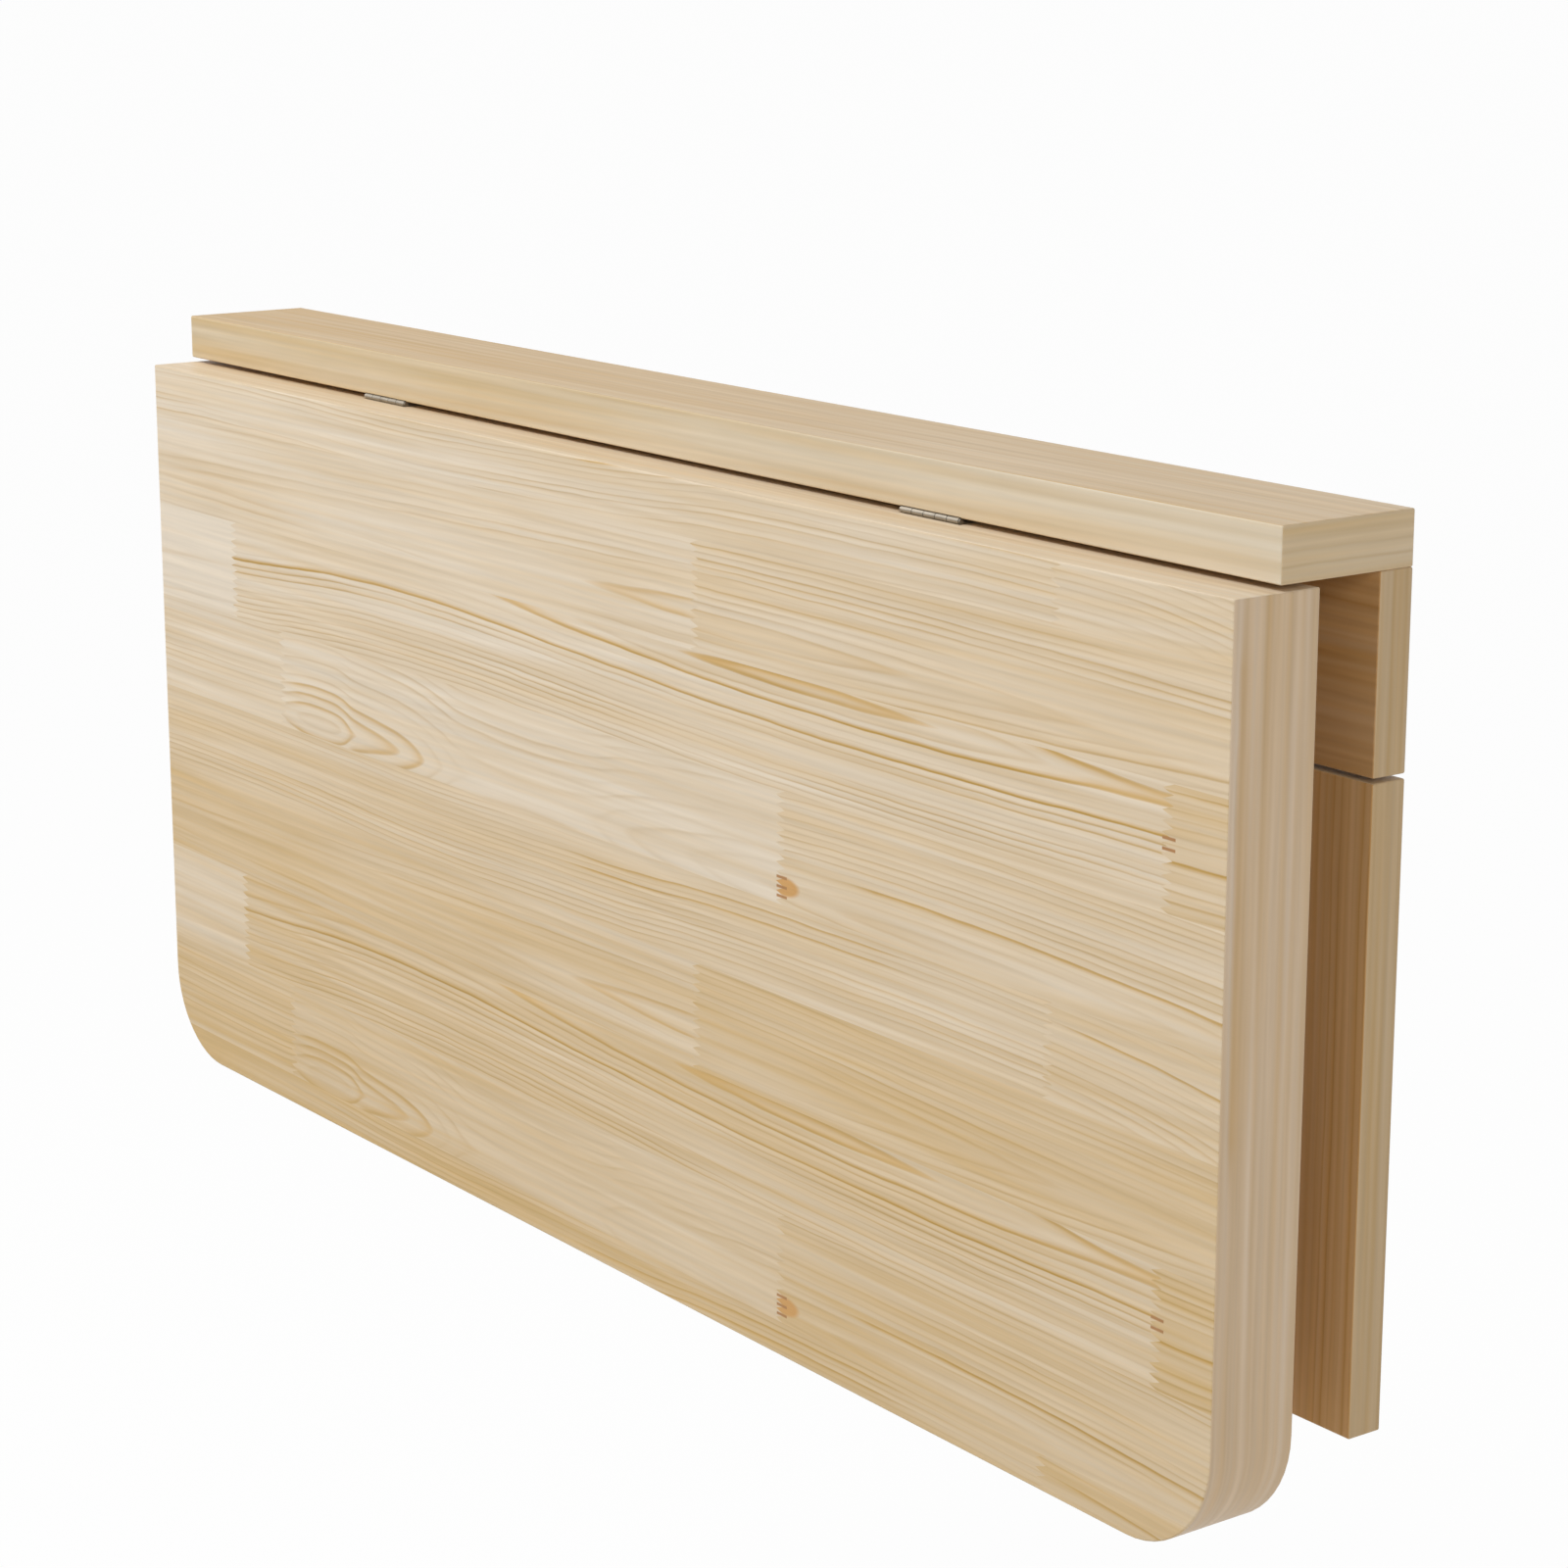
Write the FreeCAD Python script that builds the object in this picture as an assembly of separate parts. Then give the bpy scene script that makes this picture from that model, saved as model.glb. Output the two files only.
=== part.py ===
import FreeCAD
import Part
import math
import os

# Wall mounted drop leaf table, shown folded: a narrow fixed shelf on a back rail, a thick leaf that hangs
# from the shelf's front edge, and a full width support panel that hangs from the rail behind the leaf.
# Millimetres. X runs along the wall, +Y points into the wall, +Z is up.
# The wall is the plane Y = 0 and the origin is the middle of the rail's back face.

# Boards
table_width = 800.0
shelf_depth = 64.0
shelf_thickness = 21.0
leaf_thickness = 40.5
leaf_height = 360.0
leaf_corner_radius = 45.0
backboard_thickness = 16.0
rail_height = 75.0
panel_height = 250.0

# Eased edges of the boards
shelf_edge_radius = 0.8
leaf_edge_radius = 0.8
backboard_edge_radius = 0.8

# Gaps between the boards
leaf_hinge_gap = 2.4
leaf_open_gap = 0.5
prop_hinge_gap = 1.8

# Butt hinges
hinge_length = 36.0
hinge_pin_radius = 0.75
hinge_knuckle_wall = 0.65
hinge_knuckle_count = 5
hinge_plate_margin = 2.0
hinge_plate_clearance = 0.3
pin_clearance = 0.05
pin_head_radius = 1.2
pin_head_thickness = 0.5
pin_end_clearance = 0.1
knuckle_gap = 0.3
barrel_clearance = 0.3
leaf_hinge_shares = (-0.2575, 0.2575)
prop_hinge_shares = (-0.325, 0.325)
hinge_screw_along_shares = (-0.28, 0.28)
hinge_screw_across_share = 0.55

# Countersunk wood screws
screw_clearance = 0.05
hinge_screw_radius = 1.25
hinge_screw_head_radius = 2.3
hinge_screw_length = 12.0
bracket_screw_radius = 1.5
bracket_screw_head_radius = 3.0
bracket_screw_length = 14.0
stop_screw_radius = 1.75
stop_screw_head_radius = 3.5
stop_screw_head_height = 2.2
stop_screw_length = 30.0
screw_tip_share = 0.25
screw_point_share = 0.2
recess_depth_share = 0.5
recess_width_share = 0.22
recess_length_share = 1.1

# Angle brackets between shelf and rail
bracket_leg = 25.0
bracket_width = 18.0
bracket_thickness = 2.0
bracket_shares = (-0.375, 0.0, 0.375)
bracket_names = ("left", "centre", "right")
bracket_hole_shares = (0.38, 0.78)

# Dowels between shelf and rail
dowel_radius = 3.0
dowel_in_shelf = 12.0
dowel_in_rail = 14.0
dowel_clearance = 0.05
dowel_shares = (-0.45, -0.3, -0.125, 0.125, 0.3, 0.45)

# Wall screw holes through the rail
wall_hole_radius = 2.75
wall_hole_sink_radius = 5.5
wall_hole_spacing_x = 400.0
wall_hole_spacing_z = 30.0

# Stop blocks and bearing pads on the leaf's hidden face
stop_width = 40.0
stop_protrusion = 16.0
stop_flat_length = 20.0
stop_ramp_share = 1.25
stop_toe_clearance = 1.2
stop_edge_radius = 1.0
stop_shares = (-0.2, 0.2)
stop_screw_along_shares = (-0.25, 0.25)
stop_screw_flat_share = 0.5
pad_thickness = 2.0
pad_length = 22.0
pad_width = 40.0
pad_corner_radius = 4.0
prop_bearing_clearance = 0.4

# How far a cutting shape runs past the face that it cuts
overrun = 1.0

side_names = ("left", "right")

# Heights of the boards, from the middle of the rail
rail_top = rail_height / 2
rail_bottom = -rail_top
shelf_bottom = rail_top
shelf_top = shelf_bottom + shelf_thickness
leaf_top = shelf_bottom - leaf_hinge_gap
leaf_bottom = leaf_top - leaf_height
panel_top = rail_bottom - prop_hinge_gap
panel_bottom = panel_top - panel_height

# Distances of the boards' faces from the wall. The open leaf lies level with the shelf's top.
leaf_front = shelf_depth + leaf_open_gap + shelf_thickness
leaf_back = leaf_front - leaf_thickness
leaf_axis_front = leaf_front - shelf_thickness - leaf_hinge_gap / 2
leaf_axis_z = shelf_bottom - leaf_hinge_gap / 2
prop_axis_front = backboard_thickness
prop_axis_z = rail_bottom - prop_hinge_gap / 2

# Hinge sizes that follow from the boards
hinge_barrel_radius = hinge_pin_radius + pin_clearance + hinge_knuckle_wall
hinge_plate_width = backboard_thickness - hinge_plate_margin
hinge_notch_radius = hinge_barrel_radius + barrel_clearance
pin_half_length = hinge_length / 2 + pin_end_clearance + pin_head_thickness

# Where the raised support panel's free edge meets the pads under the open leaf
prop_reach = prop_hinge_gap / 2 + panel_height
prop_rise = shelf_top - leaf_thickness - pad_thickness - prop_bearing_clearance - prop_axis_z
prop_tilt = math.asin(prop_rise / prop_reach)
prop_open_angle = 90 + math.degrees(prop_tilt)
prop_tip_along_leaf = prop_axis_front + prop_reach * math.cos(prop_tilt) - leaf_axis_front

x_axis = FreeCAD.Vector(1, 0, 0)
y_axis = FreeCAD.Vector(0, 1, 0)
up = FreeCAD.Vector(0, 0, 1)
down = FreeCAD.Vector(0, 0, -1)
into_wall = FreeCAD.Vector(0, 1, 0)
out_of_wall = FreeCAD.Vector(0, -1, 0)


def place(x, front, z):
    """A point at a distance in front of the wall."""
    return FreeCAD.Vector(x, -front, z)


def block(x0, x1, back, front, z0, z1):
    """A box between two distances from the wall."""
    return Part.makeBox(x1 - x0, front - back, z1 - z0, place(x0, front, z0))


def rod_along_x(radius, x0, x1, front, z):
    return Part.makeCylinder(radius, x1 - x0, place(x0, front, z), x_axis)


def runs_along(edge, direction):
    """Whether an edge is straight and parallel to a direction."""
    if not isinstance(edge.Curve, Part.Line):
        return False
    return abs(abs(edge.Curve.Direction.dot(direction)) - 1) < edge.Tolerance


def edges_along(shape, direction, z_limit):
    """Straight edges parallel to a direction, on the part of the shape below a height."""
    return [e for e in shape.Edges if runs_along(e, direction) and e.CenterOfMass.z < z_limit]


def eased(shape, radius):
    return shape.makeFillet(radius, shape.Edges)


def cut_all(shape, tools):
    return shape.cut(Part.makeCompound(tools)) if tools else shape


def side_x(share):
    return share * table_width


def countersunk(radius, head_radius, head_height, length):
    """A solid of revolution along +Z, its head's flat face at the origin."""
    tip_length = length * screw_tip_share
    head = Part.makeCone(head_radius, radius, head_height)
    shank_length = length - head_height - tip_length
    shank = Part.makeCylinder(radius, shank_length, up * head_height)
    tip = Part.makeCone(radius, radius * screw_point_share, tip_length, up * (head_height + shank_length))
    return head.fuse([shank, tip]).removeSplitter()


def wood_screw(radius, head_radius, head_height, length):
    """A countersunk screw with a cross recess."""
    body = countersunk(radius, head_radius, head_height, length)
    slot_half_width = head_radius * recess_width_share / 2
    slot_half_length = head_radius * recess_length_share / 2
    depth = head_height * recess_depth_share
    slots = []
    for half_x, half_y in ((slot_half_length, slot_half_width), (slot_half_width, slot_half_length)):
        corner = FreeCAD.Vector(-half_x, -half_y, -overrun)
        slots.append(Part.makeBox(2 * half_x, 2 * half_y, depth + overrun, corner))
    return body.cut(slots[0].fuse(slots[1]))


def screw_hole(radius, head_radius, head_height, length):
    """The hole that a countersunk screw sits in, a clearance larger all round."""
    hole = countersunk(radius + screw_clearance, head_radius + screw_clearance, head_height,
                       length + screw_clearance)
    mouth = Part.makeCylinder(head_radius + screw_clearance, overrun, down * overrun)
    return hole.fuse(mouth)


def aimed(shape, point, direction):
    """A shape made along +Z, turned to a direction and moved to a point."""
    placed = shape.copy()
    placed.Placement = FreeCAD.Placement(point, FreeCAD.Rotation(up, direction))
    return placed


class Hinge:
    """A butt hinge folded shut in a gap, with its plates reaching back from the barrel."""

    def __init__(self, share, axis_front, axis_z, gap):
        self.x = side_x(share)
        self.front = axis_front
        self.z = axis_z
        self.half_gap = gap / 2
        self.plate = (gap - hinge_plate_clearance) / 2
        self.left = self.x - hinge_length / 2

    def segments(self, first):
        """Every second knuckle's stretch of the barrel."""
        pitch = hinge_length / hinge_knuckle_count
        starts = [self.left + i * pitch for i in range(first, hinge_knuckle_count, 2)]
        return [(start, start + pitch) for start in starts]

    def leaf_plate(self, side, own_first, other_first):
        """One half of the hinge, above the axis with side 1 and below it with side -1."""
        outer = self.z + side * self.half_gap
        inner = outer - side * self.plate
        body = block(self.left, self.left + hinge_length, self.front - hinge_plate_width, self.front,
                     min(outer, inner), max(outer, inner))
        swept = hinge_barrel_radius + knuckle_gap
        body = cut_all(body, [rod_along_x(swept, a, b, self.front, self.z)
                              for a, b in self.segments(other_first)])
        knuckles = [rod_along_x(hinge_barrel_radius, a + knuckle_gap / 2, b - knuckle_gap / 2,
                                self.front, self.z) for a, b in self.segments(own_first)]
        bore = rod_along_x(hinge_pin_radius + pin_clearance, self.left - overrun,
                           self.left + hinge_length + overrun, self.front, self.z)
        body = body.fuse(knuckles).cut(bore)
        return cut_all(body, self.screw_shapes(screw_hole, side))

    def fixed_plate(self):
        return self.leaf_plate(1, 0, 1)

    def moving_plate(self):
        return self.leaf_plate(-1, 1, 0)

    def screw_shapes(self, maker, side):
        """Screws, or their holes, from the plate's free face into the board behind it."""
        start_z = self.z + side * (self.half_gap - self.plate)
        front = self.front - hinge_plate_width * hinge_screw_across_share
        shape = maker(hinge_screw_radius, hinge_screw_head_radius, self.plate, hinge_screw_length)
        direction = up if side > 0 else down
        return [aimed(shape, place(self.x + share * hinge_length, front, start_z), direction)
                for share in hinge_screw_along_shares]

    def notch(self):
        return rod_along_x(hinge_notch_radius, self.x - pin_half_length - barrel_clearance,
                           self.x + pin_half_length + barrel_clearance, self.front, self.z)

    def pin(self):
        """A pin with a flat head at each end, just clear of the knuckles."""
        ends = (self.x - pin_half_length, self.x + pin_half_length)
        shank = rod_along_x(hinge_pin_radius, ends[0], ends[1], self.front, self.z)
        heads = [rod_along_x(pin_head_radius, ends[0], ends[0] + pin_head_thickness, self.front, self.z),
                 rod_along_x(pin_head_radius, ends[1] - pin_head_thickness, ends[1], self.front, self.z)]
        return shank.fuse(heads).removeSplitter()


def bracket_shape(x):
    """An angle bracket in the corner under the shelf, in front of the rail."""
    corner = (backboard_thickness, shelf_bottom)
    profile = [(0, 0), (bracket_leg, 0), (bracket_leg, -bracket_thickness),
               (bracket_thickness, -bracket_thickness), (bracket_thickness, -bracket_leg), (0, -bracket_leg)]
    start = x - bracket_width / 2
    points = [place(start, corner[0] + out, corner[1] + rise) for out, rise in profile]
    face = Part.Face(Part.makePolygon(points + points[:1]))
    body = face.extrude(x_axis * bracket_width)
    return cut_all(body, bracket_screw_shapes(screw_hole, x, True) + bracket_screw_shapes(screw_hole, x, False))


def bracket_screw_shapes(maker, x, in_shelf):
    """The screws, or their holes, of one bracket's upper or back leg."""
    shape = maker(bracket_screw_radius, bracket_screw_head_radius, bracket_thickness, bracket_screw_length)
    placed = []
    for share in bracket_hole_shares:
        reach = bracket_leg * share
        if in_shelf:
            point = place(x, backboard_thickness + reach, shelf_bottom - bracket_thickness)
            placed.append(aimed(shape, point, up))
        else:
            point = place(x, backboard_thickness + bracket_thickness, shelf_bottom - reach)
            placed.append(aimed(shape, point, into_wall))
    return placed


def dowels(radius, end_clearance):
    """The dowels, or their holes when an end clearance is given."""
    bottom = rail_top - dowel_in_rail - end_clearance
    length = dowel_in_rail + dowel_in_shelf + 2 * end_clearance
    middle = backboard_thickness / 2
    return [Part.makeCylinder(radius, length, place(side_x(share), middle, bottom)) for share in dowel_shares]


def wall_holes():
    """Countersunk clearance holes through the rail."""
    sink_depth = wall_hole_sink_radius - wall_hole_radius
    holes = []
    for x in (-wall_hole_spacing_x / 2, wall_hole_spacing_x / 2):
        for z in (-wall_hole_spacing_z / 2, wall_hole_spacing_z / 2):
            bore = Part.makeCylinder(wall_hole_radius, backboard_thickness + 2 * overrun,
                                     place(x, backboard_thickness + overrun, z), into_wall)
            sink = Part.makeCone(wall_hole_sink_radius, wall_hole_radius, sink_depth,
                                 place(x, backboard_thickness, z), into_wall)
            holes.append(bore.fuse(sink))
    return holes


def stop_profile():
    """The stop block's side outline as distances along the leaf from its hinge axis and off its back."""
    toe = prop_tip_along_leaf + stop_toe_clearance
    ramp_end = toe + stop_protrusion * stop_ramp_share
    flat_end = ramp_end + stop_flat_length
    return [(toe, 0), (ramp_end, stop_protrusion), (flat_end, stop_protrusion), (flat_end, 0)]


def on_leaf_back(x, along, off):
    """A point given along the hanging leaf from its hinge axis and off its hidden face."""
    return place(x, leaf_back - off, leaf_axis_z - along)


def stop_screw_shapes(maker, x):
    ramp_end = stop_profile()[1][0]
    along = ramp_end + stop_flat_length * stop_screw_flat_share
    shape = maker(stop_screw_radius, stop_screw_head_radius, stop_screw_head_height, stop_screw_length)
    return [aimed(shape, on_leaf_back(x + share * stop_width, along, stop_protrusion), out_of_wall)
            for share in stop_screw_along_shares]


def stop_block(x):
    """A wedge shaped block that keeps the raised panel's free edge from sliding outward."""
    points = [on_leaf_back(x - stop_width / 2, along, off) for along, off in stop_profile()]
    face = Part.Face(Part.makePolygon(points + points[:1]))
    body = face.extrude(x_axis * stop_width)
    far_edges = [e for e in body.Edges if runs_along(e, x_axis)
                 and abs(e.CenterOfMass.y + leaf_back - stop_protrusion) < e.Tolerance]
    return cut_all(body.makeFillet(stop_edge_radius, far_edges), stop_screw_shapes(screw_hole, x))


def bearing_pad(x):
    """A thin pad that the raised panel's free edge presses on."""
    near = prop_tip_along_leaf - pad_length
    corner = on_leaf_back(x - pad_width / 2, prop_tip_along_leaf, 0)
    body = Part.makeBox(pad_width, pad_thickness, pad_length, corner)
    corner_edges = edges_along(body, y_axis, leaf_axis_z - near + overrun)
    return body.makeFillet(pad_corner_radius, corner_edges)


leaf_hinges = [Hinge(share, leaf_axis_front, leaf_axis_z, leaf_hinge_gap) for share in leaf_hinge_shares]
prop_hinges = [Hinge(share, prop_axis_front, prop_axis_z, prop_hinge_gap) for share in prop_hinge_shares]
bracket_places = [side_x(share) for share in bracket_shares]
stop_places = [side_x(share) for share in stop_shares]
half_width = table_width / 2


def of_hinges(hinges, maker, side):
    return [shape for hinge in hinges for shape in hinge.screw_shapes(maker, side)]


def of_brackets(maker, in_shelf):
    return [shape for x in bracket_places for shape in bracket_screw_shapes(maker, x, in_shelf)]


def shelf_board():
    body = eased(block(-half_width, half_width, 0, shelf_depth, shelf_bottom, shelf_top), shelf_edge_radius)
    tools = [hinge.notch() for hinge in leaf_hinges]
    tools += of_hinges(leaf_hinges, screw_hole, 1)
    tools += of_brackets(screw_hole, True)
    tools += dowels(dowel_radius + dowel_clearance, dowel_clearance)
    return cut_all(body, tools)


def back_rail():
    body = eased(block(-half_width, half_width, 0, backboard_thickness, rail_bottom, rail_top),
                 backboard_edge_radius)
    tools = [hinge.notch() for hinge in prop_hinges]
    tools += of_hinges(prop_hinges, screw_hole, 1)
    tools += of_brackets(screw_hole, False)
    tools += dowels(dowel_radius + dowel_clearance, dowel_clearance)
    tools += wall_holes()
    return cut_all(body, tools)


def drop_leaf():
    """A thick board with rounded lower corners and eased edges all round."""
    board = block(-half_width, half_width, leaf_back, leaf_front, leaf_bottom, leaf_top)
    middle = leaf_bottom + leaf_height / 2
    rounded = board.makeFillet(leaf_corner_radius, edges_along(board, y_axis, middle))
    smooth_seams = edges_along(rounded, y_axis, middle)
    rims = [e for e in rounded.Edges if not any(e.isSame(seam) for seam in smooth_seams)]
    body = rounded.makeFillet(leaf_edge_radius, rims)
    tools = [hinge.notch() for hinge in leaf_hinges]
    tools += of_hinges(leaf_hinges, screw_hole, -1)
    for x in stop_places:
        tools += stop_screw_shapes(screw_hole, x)
    return cut_all(body, tools)


def support_panel():
    body = eased(block(-half_width, half_width, 0, backboard_thickness, panel_bottom, panel_top),
                 backboard_edge_radius)
    tools = [hinge.notch() for hinge in prop_hinges]
    tools += of_hinges(prop_hinges, screw_hole, -1)
    return cut_all(body, tools)


def stop_screws():
    return Part.makeCompound([s for x in stop_places for s in stop_screw_shapes(wood_screw, x)])


def all_nodes():
    """Every separate piece under its node name."""
    nodes = {
        "shelf_board": shelf_board(),
        "back_rail": back_rail(),
        "drop_leaf": drop_leaf(),
        "support_panel": support_panel(),
        "shelf_dowels": Part.makeCompound(dowels(dowel_radius, 0)),
        "bracket_screws": Part.makeCompound(of_brackets(wood_screw, True) + of_brackets(wood_screw, False)),
        "stop_screws": stop_screws(),
    }
    for name, x in zip(bracket_names, bracket_places):
        nodes["shelf_bracket_" + name] = bracket_shape(x)
    for kind, hinges in (("leaf_hinge", leaf_hinges), ("prop_hinge", prop_hinges)):
        for name, hinge in zip(side_names, hinges):
            nodes[kind + "_" + name + "_fixed_plate"] = hinge.fixed_plate()
            nodes[kind + "_" + name + "_moving_plate"] = hinge.moving_plate()
            nodes[kind + "_" + name + "_pin"] = hinge.pin()
        nodes[kind + "_fixed_screws"] = Part.makeCompound(of_hinges(hinges, wood_screw, 1))
        nodes[kind + "_moving_screws"] = Part.makeCompound(of_hinges(hinges, wood_screw, -1))
    for name, x in zip(side_names, stop_places):
        nodes["stop_block_" + name] = stop_block(x)
        nodes["stop_pad_" + name] = bearing_pad(x)
    return nodes


os.makedirs("parts", exist_ok=True)
for node_name, shape in all_nodes().items():
    shape.exportStep("parts/" + node_name + ".step")
    print(node_name, len(shape.Solids), round(shape.Volume, 3), shape.isValid())
print("leaf axis, front and height:", leaf_axis_front, leaf_axis_z)
print("support axis, front and height:", prop_axis_front, prop_axis_z)
print("support panel's open angle:", round(prop_open_angle, 3))
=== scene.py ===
import math

import bmesh
import bpy
from mathutils import Euler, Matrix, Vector


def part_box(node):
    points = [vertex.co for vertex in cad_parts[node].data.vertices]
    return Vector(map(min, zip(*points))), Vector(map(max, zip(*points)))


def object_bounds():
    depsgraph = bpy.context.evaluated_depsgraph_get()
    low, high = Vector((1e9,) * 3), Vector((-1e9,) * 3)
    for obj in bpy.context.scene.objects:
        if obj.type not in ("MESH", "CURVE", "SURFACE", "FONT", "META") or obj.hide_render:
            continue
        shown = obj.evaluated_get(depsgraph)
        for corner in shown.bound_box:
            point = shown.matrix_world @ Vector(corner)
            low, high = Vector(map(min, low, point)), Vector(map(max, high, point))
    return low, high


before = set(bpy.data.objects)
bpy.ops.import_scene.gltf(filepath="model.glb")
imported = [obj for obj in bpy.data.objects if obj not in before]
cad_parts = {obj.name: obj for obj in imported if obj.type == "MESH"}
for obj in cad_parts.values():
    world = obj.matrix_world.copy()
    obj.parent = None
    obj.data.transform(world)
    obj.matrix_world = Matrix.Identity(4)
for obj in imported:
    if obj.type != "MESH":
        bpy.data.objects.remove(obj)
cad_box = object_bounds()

bl_info = {
    "name": "Wall Drop Leaf Table",
    "version": (1, 0, 0),
    "blender": (4, 5, 0),
    "location": "View3D > Sidebar > Drop Leaf Table",
    "description": "Finishes a folding wall table in finger-jointed pine and sets up its studio",
    "category": "Object",
}

# Kinds of shader node that the materials and the studio use
MATH = "ShaderNodeMath"
VECTOR = "ShaderNodeVectorMath"
MIX = "ShaderNodeMix"
NOISE = "ShaderNodeTexNoise"
CHANCE = "ShaderNodeTexWhiteNoise"
COMBINE = "ShaderNodeCombineXYZ"
SEPARATE = "ShaderNodeSeparateXYZ"
RAMP = "ShaderNodeValToRGB"
RANGE = "ShaderNodeMapRange"
CURVE = "ShaderNodeFloatCurve"
BUMP = "ShaderNodeBump"
COORDINATES = "ShaderNodeTexCoord"
PRINCIPLED = "ShaderNodeBsdfPrincipled"
EMISSION = "ShaderNodeEmission"
MIX_SHADER = "ShaderNodeMixShader"
OUTPUT = "ShaderNodeOutputMaterial"
RAY = "ShaderNodeLightPath"
BACKGROUND = "ShaderNodeBackground"
WORLD_OUTPUT = "ShaderNodeOutputWorld"

MM = 0.001
TO_MM = 1 / MM
# The middle of a range from 0 to 1, such as a ramp's, a noise's or the way along the table
MIDDLE = 0.5
# White light, and a tint that leaves the wood as it is
WHITE = (1.0, 1.0, 1.0, 1.0)

shelf_low, shelf_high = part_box("shelf_board")
table_width_mm = (shelf_high.x - shelf_low.x) * TO_MM
leaf_top_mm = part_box("drop_leaf")[1].z * TO_MM

# A face belongs to a board's top, end or back when its normal points that way by at least this share
HALF_TURNED = 0.7
# A board's back reads the noise patterns this many staves away from its front
BACK_SEED = 200.0

# A colour ramp holds three values from 0 to 1, so a table's are divided by this and set about the middle
RAMP_VALUES = 3
TABLE_SCALE = 1000.0

# The leaf's first whole row of staves starts this far below its top edge, in millimetres
FIRST_ROW = 23.5
# The most staves in a row. A joint that a row doesn't have lies past the leaf's end
STAVES_IN_ROW = 3
PAST_END = 450.0

# The deepest pith behind a row of staves, and the most that a row's grain bends, in millimetres
DEEPEST = 40.0
MOST_FLOW = 20.0
STRAIGHT = ((-400, 0), (400, 0))

# How much warmer than its figures the first set of rows is, and what each set below it adds in the middle.
# This is partly the staves' own tone and partly painted light: painted sheen on the paler top set, painted
# shade on the warmer sets below
FIRST_SET_TONE_AND_SHEEN = -0.12
SET_WARMTH_AND_SHADE = 0.47
# How much less a set adds from the left end to the right, so the painted shade is deepest at the left
SET_WARMTH_AND_SHADE_FALL = 0.35
# The part of a row above the first set counts as half a set
PART_SET = -0.5
# The warmest tone of early wood, where 0 is pale and 1 is golden
WARMEST = 1.3

# A knot is a flame beyond a joint and dark prongs before it
NO_KNOT = (-100.0, 0.1, 0.0)
# A distance along the grain counts for less than one across it, so a flame is long
FLAME_SHAPE = (0.42, 1.0, 1.0)
# A flame is full up to this share of its size, and fades from there
FLAME_CORE = 0.7
# The prongs' length and width, and how far before the joint their middle lies, in millimetres
PRONG_LENGTH = 7.0
PRONG_WIDTH = 0.8
PRONG_SET_BACK = 2.1

# A year's growth from spring to winter: the place in the year, how dark it is and how amber
SEASON = ((0.0, 0.0, 0.0), (0.35, 0.0, 0.1), (0.6, 0.12, 0.5), (0.75, 0.6, 1.0), (0.83, 1.0, 1.0),
          (0.91, 0.6, 0.7), (1.0, 0.0, 0.0))
# How pointed the figure's loops are: 2 gives ellipses
LOOP_POINT = 1.5
# A face that grazes a ring keeps this much of its dark line, and all of it from this slope on
GRAZED_LINE = 0.25
FULL_SLOPE = 0.45
# The least strength of a year's late wood, and what chance may add to it
LEAST_STRENGTH = 0.15
CHANCE_STRENGTH = 0.36
# Strong rings: how many a figure may have, and a year that no ring has
STRONG_RINGS = 3
NO_RING = -9
# Years are whole numbers, and are the same within this
SAME_YEAR = 0.5
# Their strength, and how much wider their lines are
STRONG_STRENGTH = 0.8
STRONG_WIDTH = 0.5
# The length over which they fade in and out at their ends, in millimetres
STRONG_FADE = 40.0


class Blotches:
    """A noise pattern's real sizes in millimetres along the grain and across it, and its size in staves."""

    def __init__(self, along, across, staves, detail=1.0):
        self.shares = tuple(1 / size if size else 0.0 for size in (along, across, staves))
        self.detail = detail


# Slow bends of the grain across the face, and the pith's slow sway behind it
BEND = Blotches(260.0, 90.0, 0.137)
SWAY = Blotches(330.0, 0.0, 0.61)
# Small ripples of the grain, and their height in millimetres
RIPPLE = Blotches(40.0, 9.0, 0.17, detail=2.0)
RIPPLE_HEIGHT = 0.8
# Late wood fades along the stave to this share, between these values of the noise
FADE = Blotches(190.0, 18.0, 0.41)
FADE_LOW = 0.34
FADE_HIGH = 0.6
FADED = 0.12
# Clouds and narrow bands in the early wood, and how much warmth they add or take
CLOUD = Blotches(150.0, 26.0, 0.29, detail=2.0)
CLOUD_LOW = 0.2
CLOUD_HIGH = 0.8
CLOUD_WARMTH = 0.15
BAND = Blotches(240.0, 4.0, 0.53)
BAND_WARMTH = 0.29
# Fibres, drawn over a millimetre wide so that they show, and broader silky streaks, with their light and dark
FIBRE = Blotches(30.0, 1.6, 1.0)
FIBRE_SHADES = (0.98, 1.02)
SILK = Blotches(150.0, 2.6, 0.83)
SILK_SHADES = (0.94, 1.06)
# The values of the noise between which bands, fibres and silk turn from dark to light
STREAK_LOW = 0.25
STREAK_HIGH = 0.75

# Satin lacquer: its index of refraction and specular level, how much smoother it lies on late wood, and the
# relief of the grain under it
LACQUER_IOR = 1.5
LACQUER_SPECULAR = 0.14
LATE_WOOD_GLOSS = 0.08
LATE_WOOD_RELIEF = 0.5
GRAIN_RELIEF = 0.1 * MM
GRAIN_BUMP = 0.12

# Lines along X in the drawn steel, in millimetres. Real ones are 0.1 mm apart: these are coarser, to show
DRAWN_LINE = (10.0, 0.8, 0.8)
DRAWN_RELIEF = 0.05 * MM
DRAWN_BUMP = 0.1
# Dulled patches in the plating, in millimetres
DULL_PATCH = 5.0
# The rubber mould's grit, really about 0.3 mm and drawn coarser to show, and the pale bloom, in millimetres
RUBBER_GRIT = 1.2
RUBBER_BLOOM = 6.25
GRIT_RELIEF = 0.1 * MM
GRIT_BUMP = 0.3
# Flecks along an upright dowel, in millimetres
BEECH_FLECK = (0.4, 0.4, 3.0)
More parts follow.
